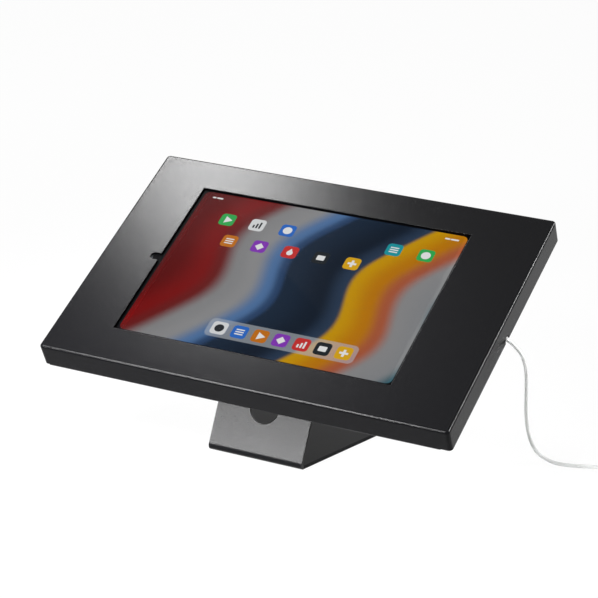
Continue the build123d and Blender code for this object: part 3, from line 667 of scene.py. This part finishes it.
class KIOSK_OT_lay_cable(bpy.types.Operator):
    """Lay the charging cable and finish its plugs and tie"""

    bl_idname = "kiosk.lay_cable"
    bl_label = "Lay cable"

    def execute(self, context):
        curve = bpy.data.curves.new("charging_cord", "CURVE")
        curve.dimensions = "3D"
        curve.bevel_depth = CORD_DIAMETER / 2
        curve.bevel_resolution = 5
        curve.resolution_u = 8
        curve.use_fill_caps = True
        points = cord_points()
        spline = curve.splines.new("NURBS")
        spline.points.add(len(points) - 1)
        for point, place in zip(spline.points, points):
            point.co = (*place, 1.0)
        spline.order_u = 3
        spline.use_endpoint_u = True
        sheath = finish("plastic_extruded", tuple(context.scene.kiosk.cord_colour))
        curve.materials.append(sheath)
        made = bpy.data.objects.new("charging_cord", curve)
        context.scene.collection.objects.link(made)
        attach(made, "stand")
        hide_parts("charging_cable", "cable_coil", "cable_tail")
        give(finish("polycarbonate_moulded"), "charge_plug_body", "usb_plug_body")
        give(finish("brass_nickel_plated"), "charge_plug_shell", "usb_plug_shell")
        give(finish("nylon_woven"), "cable_tie")
        return {"FINISHED"}


class KIOSK_OT_set_stage(bpy.types.Operator):
    """Set the white table, the lamps and the photograph's camera"""

    bl_idname = "kiosk.set_stage"
    bl_label = "Set stage"

    def execute(self, context):
        scene = context.scene
        self.set_camera(scene)
        self.set_lamps(scene)
        self.set_floor(scene)
        self.set_world(scene)
        scene.view_settings.view_transform = "Standard"
        return {"FINISHED"}

    def set_camera(self, scene):
        """Camera of the photograph."""
        data = bpy.data.cameras.new("photo_camera")
        data.lens = CAMERA_LENS
        made = bpy.data.objects.new("photo_camera", data)
        turn = (
            Matrix.Rotation(radians(CAMERA_AZIMUTH), 4, "Z")
            @ Matrix.Rotation(radians(90 - CAMERA_ELEVATION), 4, "X")
            @ Matrix.Rotation(radians(CAMERA_ROLL), 4, "Z")
        )
        place = Vector(FACE_CENTRE) + Vector(CAMERA_FROM_FACE)
        made.matrix_world = Matrix.Translation(place) @ turn
        scene.collection.objects.link(made)
        scene.camera = made

    def set_lamps(self, scene):
        """Soft boxes, each aimed at the part."""
        for name, place, aim, (width, height), spread in LAMPS:
            data = bpy.data.lights.new(name, "AREA")
            data.shape = "RECTANGLE"
            data.size = width
            data.size_y = height
            data.spread = radians(spread)
            data.energy = getattr(scene.kiosk, name)
            made = bpy.data.objects.new(name, data)
            made.location = place
            towards = Vector(aim) - Vector(place)
            made.rotation_euler = towards.to_track_quat("-Z", "Y").to_euler()
            scene.collection.objects.link(made)

    def set_floor(self, scene):
        """Painted table: white to the camera, and it keeps a little of the object's shadow."""
        data = bpy.data.meshes.new("table")
        sides = ((-1, -1), (1, -1), (1, 1), (-1, 1))
        corners = [(x * FLOOR_HALF, y * FLOOR_HALF, 0.0) for x, y in sides]
        data.from_pydata(corners, [], [(0, 1, 2, 3)])
        made = bpy.data.objects.new("table", data)
        scene.collection.objects.link(made)
        material, tree = empty_material("table_painted")
        paint = add(tree, "ShaderNodeBsdfDiffuse", {"Color": linear(TABLE_COLOUR)})
        glow = add(tree, "ShaderNodeEmission")
        share = add(
            tree, "ShaderNodeMath", {0: background_share(tree), 1: 1.0 - FLOOR_SHADOW_SHARE},
            operation="MULTIPLY",
        )
        mixed = add(
            tree, "ShaderNodeMixShader",
            {0: share.outputs[0], 1: paint.outputs[0], 2: glow.outputs[0]},
        )
        add(tree, "ShaderNodeOutputMaterial", {"Surface": mixed.outputs[0]})
        data.materials.append(material)

    def set_world(self, scene):
        """Even room light behind a white background."""
        world = bpy.data.worlds.new("studio")
        scene.world = world
        world.use_nodes = True
        tree = world.node_tree
        tree.nodes.clear()
        white = (1.0, 1.0, 1.0, 1.0)
        strength = scene.kiosk.room_light
        room = add(tree, "ShaderNodeBackground", {"Color": white, "Strength": strength})
        backdrop = add(tree, "ShaderNodeBackground", {"Color": white})
        mixed = add(
            tree, "ShaderNodeMixShader",
            {0: background_share(tree), 1: room.outputs[0], 2: backdrop.outputs[0]},
        )
        add(tree, "ShaderNodeOutputWorld", {"Surface": mixed.outputs[0]})


OPERATORS = (
    KIOSK_OT_finish_case,
    KIOSK_OT_finish_lock,
    KIOSK_OT_finish_tablet,
    KIOSK_OT_paint_screen,
    KIOSK_OT_lay_cable,
    KIOSK_OT_set_stage,
)


class KIOSK_PT_panel(bpy.types.Panel):
    """Sidebar panel with the settings and a button for each step"""

    bl_idname = "KIOSK_PT_panel"
    bl_label = "Kiosk stand"
    bl_space_type = "VIEW_3D"
    bl_region_type = "UI"
    bl_category = "Kiosk"

    def draw(self, context):
        for name in KioskSettings.__annotations__:
            self.layout.prop(context.scene.kiosk, name)
        for operator in OPERATORS:
            self.layout.operator(operator.bl_idname)


CLASSES = (KioskSettings, *OPERATORS, KIOSK_PT_panel)


def register():
    """Register the classes and the scene's settings."""
    for made in CLASSES:
        bpy.utils.register_class(made)
    bpy.types.Scene.kiosk = bpy.props.PointerProperty(type=KioskSettings)


def unregister():
    """Undo register."""
    del bpy.types.Scene.kiosk
    for made in reversed(CLASSES):
        bpy.utils.unregister_class(made)


def main():
    """Run every step."""
    register()
    bpy.ops.kiosk.finish_case()
    bpy.ops.kiosk.finish_lock()
    bpy.ops.kiosk.finish_tablet()
    bpy.ops.kiosk.paint_screen()
    bpy.ops.kiosk.lay_cable()
    bpy.ops.kiosk.set_stage()


if __name__ == "__main__":
    main()
